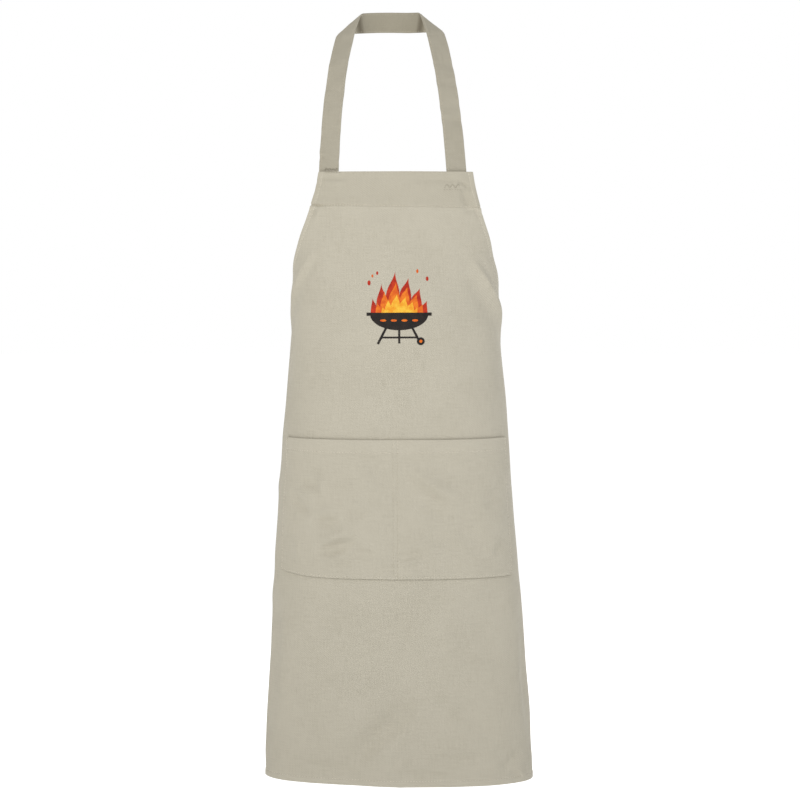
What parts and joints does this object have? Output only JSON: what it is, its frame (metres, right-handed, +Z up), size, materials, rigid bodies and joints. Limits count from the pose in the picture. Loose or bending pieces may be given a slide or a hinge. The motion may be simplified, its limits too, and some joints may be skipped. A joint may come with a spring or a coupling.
{
  "type": "barbecue apron",
  "caption": "Bib apron for cooking, in its worn form: wide bib with scooped sides, curved skirt with a broad two-part front pocket, neck strap and waist ties.",
  "frame": {"origin": "middle of the nape, on the neck strap's inner face", "axes": "+Z up, the apron's front towards -Y, +X to the right of someone who looks at the front"},
  "size_m": [0.3993, 0.229, 1.1379],
  "materials": {
    "twill": "matte cotton twill",
    "twill_band": "matte cotton band"
  },
  "bodies": {
    "root": {"apron_body": "twill", "bib_facing": "twill", "pocket": "twill", "neck_strap": "twill_band", "waist_tie_left": "twill_band", "waist_tie_right": "twill_band", "tie_knot": "twill_band", "tie_tail_left": "twill_band", "tie_tail_right": "twill_band"}
  },
  "joints": []
}
